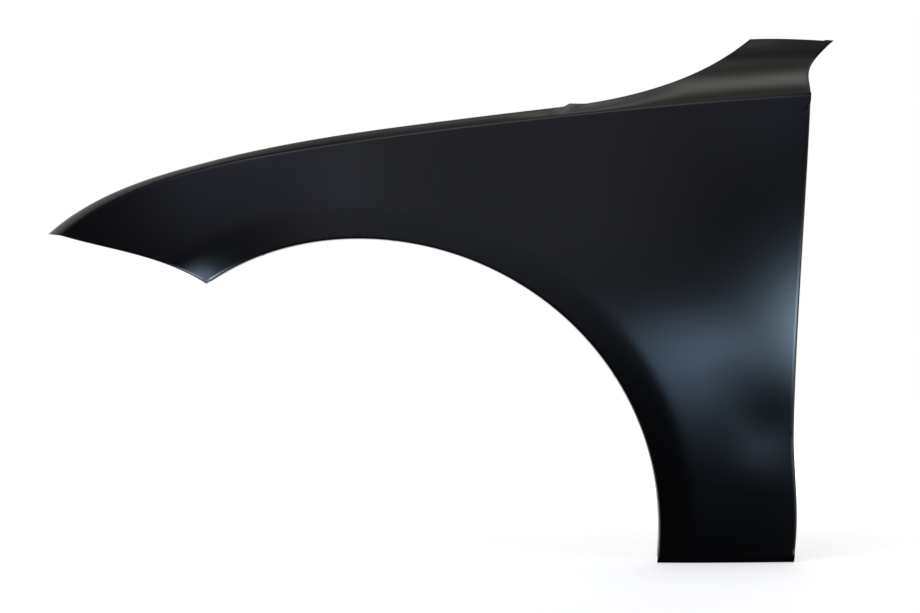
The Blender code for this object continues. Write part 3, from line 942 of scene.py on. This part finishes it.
studio = {
    "white": 1.0,
    "backdrop": (180.0, 0.0, 10.0),    # degrees right, up and spread, as for a box
    "boxes": (
        (31.5, -2.6, 6.7, (6.78, 9.58, 12.32)),
        (-40.0, -12.6, 4.0, (11.49, 15.15, 19.96)),
        (9.5, 62.0, 17.7, (0.55, 0.55, 0.56)),
        (0.0, 50.0, 9.0, (1.13, 1.14, 1.20)),
        (-47.2, 36.4, 14.4, (0.77, 0.82, 1.08)),
        (150.0, -10.0, 25.0, (0.21, 0.21, 0.19)),
        (-150.0, -10.0, 25.0, (0.21, 0.21, 0.19)),
        (-46.0, -14.0, 4.5, (3.71, 3.65, 4.80)),
        (-136.1, 29.3, 21.1, (0.24, 0.24, 0.26)),
        (38.0, -4.0, 5.0, (6.50, 5.22, 5.51)),
        (126.6, 49.0, 10.6, (0.94, 0.91, 0.82)),
        (-54.0, -16.0, 6.0, (1.25, 1.77, 1.88)),
        (-8.9, 14.3, 13.5, (0.44, 0.46, 0.57)),
        (10.9, -8.4, 5.1, (1.57, 2.28, 3.20)),
        (-50.0, -22.0, 6.0, (1.34, 1.31, 1.38)),
        (180.0, 77.0, 9.0, (0.41, 0.41, 0.39)),
        (-40.0, -19.0, 5.0, (1.28, 1.85, 1.96)),
        (23.8, 34.0, 7.0, (0.54, 0.58, 0.84)),
        (180.0, 50.0, 9.0, (0.20, 0.20, 0.19)),
        (-38.0, 47.0, 11.0, (0.80, 0.80, 0.80)),
        (50.0, -3.0, 6.0, (4.00, 4.20, 4.40)),
        (76.0, -3.0, 8.0, (4.00, 4.20, 4.40)),
        (172.0, 43.0, 4.5, (0.46, 0.46, 0.43)),
        (135.0, -30.0, 25.0, (0.70, 0.70, 0.68)),
        (-135.0, -30.0, 25.0, (0.70, 0.70, 0.68)),
    ),
}


def makeWorld():
    world = bpy.data.worlds.new("studio")
    scene.world = world
    world.use_nodes = True
    tree = world.node_tree
    seen = tree.nodes["Background"]
    where = tree.nodes.new("ShaderNodeTexCoord")
    room = None

    def softPatch(right, up, spread):    # 1 at its middle, fading to 0 round it
        turn, lift = math.radians(right), math.radians(up)
        towards = tree.nodes.new("ShaderNodeVectorMath")
        towards.operation = "DOT_PRODUCT"
        tree.links.new(where.outputs["Generated"], towards.inputs[0])
        towards.inputs[1].default_value = (
            math.sin(turn) * math.cos(lift), -math.cos(turn) * math.cos(lift), math.sin(lift))
        sharpness = math.radians(spread) ** -2
        return mathNode(tree, "EXPONENT", mathNode(
            tree, "MULTIPLY_ADD", towards.outputs["Value"], sharpness, -sharpness))

    for right, up, spread, colour in studio["boxes"]:
        fade = softPatch(right, up, spread)
        glow = tree.nodes.new("ShaderNodeVectorMath")
        glow.operation = "MULTIPLY_ADD" if room else "MULTIPLY"
        tree.links.new(fade, glow.inputs[0])
        glow.inputs[1].default_value = colour
        if room:
            tree.links.new(room, glow.inputs[2])
        room = glow.outputs["Vector"]
    path = tree.nodes.new("ShaderNodeLightPath")
    choice = tree.nodes.new("ShaderNodeMix")
    choice.data_type = "RGBA"
    mirrored = mathNode(tree, "ADD", path.outputs["Is Glossy Ray"], path.outputs["Is Transmission Ray"])
    white = mathNode(tree, "MULTIPLY_ADD", mirrored, softPatch(*studio["backdrop"]),
                     path.outputs["Is Camera Ray"])
    tree.links.new(white, choice.inputs["Factor"])
    tree.links.new(room, choice.inputs[mixFrom])
    choice.inputs[mixTo].default_value = (studio["white"],) * 3 + (1.0,)
    tree.links.new(choice.outputs[mixOut], seen.inputs["Color"])


# Wide lamps for the floor and for matt surfaces, unseen in the gloss

lamps = {
    "front": {"place": (-1.2, -3.2, 1.8), "aim": (0.0, 0.0, -0.2), "size": 2.0, "power": 34.0},
    "over": {"place": (0.6, 0.4, 2.6), "aim": (0.0, 0.0, -0.3), "size": 2.4, "power": 17.0},
    "back": {"place": (0.8, 3.0, 1.4), "aim": (0.0, 0.0, -0.2), "size": 2.0, "power": 30.0},
}


def makeLamps():
    for name, lamp in lamps.items():
        data = bpy.data.lights.new(name, "AREA")
        data.shape = "DISK"
        data.size = lamp["size"]
        data.energy = lamp["power"]
        made = bpy.data.objects.new(name, data)
        made.location = lamp["place"]
        aim = Vector(lamp["aim"]) - Vector(lamp["place"])
        made.rotation_euler = aim.to_track_quat("-Z", "Y").to_euler()
        made.visible_glossy = False
        scene.collection.objects.link(made)


makeFloor()
makeWorld()
makeLamps()
scene.view_settings.view_transform = "Standard"
print("studio lit")
